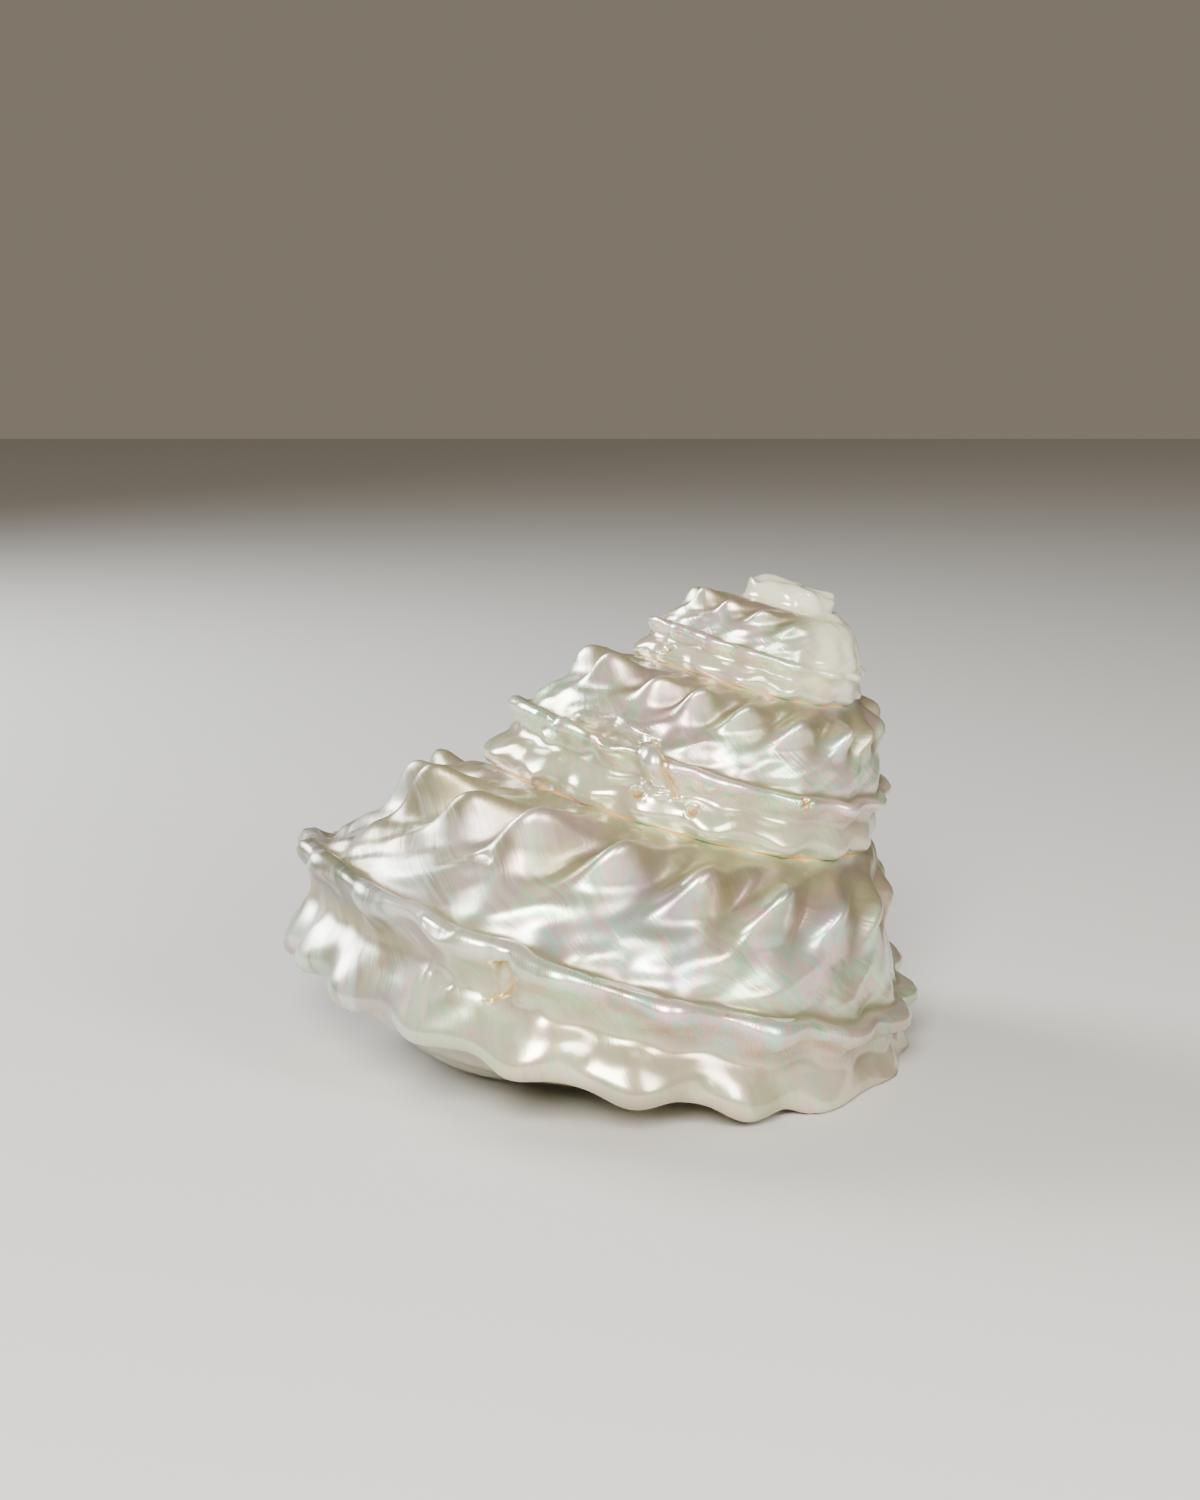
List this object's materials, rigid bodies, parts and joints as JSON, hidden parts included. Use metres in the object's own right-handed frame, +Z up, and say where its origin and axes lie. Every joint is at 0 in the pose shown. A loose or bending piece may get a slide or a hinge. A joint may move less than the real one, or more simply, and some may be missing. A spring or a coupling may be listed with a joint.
{
  "type": "wavy turban shell",
  "caption": "Wavy turban sea shell polished down to its pearl, lying on its base, with knobbed whorls and two wavy keels.",
  "frame": {"origin": "centre of the footprint, on the surface that the shell rests on", "axes": "+Z up; +X to the right of the picture, the side that the spire leans to; +Y away from the camera"},
  "size_m": [0.1065, 0.0991, 0.0789],
  "materials": {
    "pearl": "polished mother-of-pearl: cream and beige with pink and green sheen, glossy"
  },
  "bodies": {
    "root": {"shell": "pearl"}
  },
  "joints": []
}
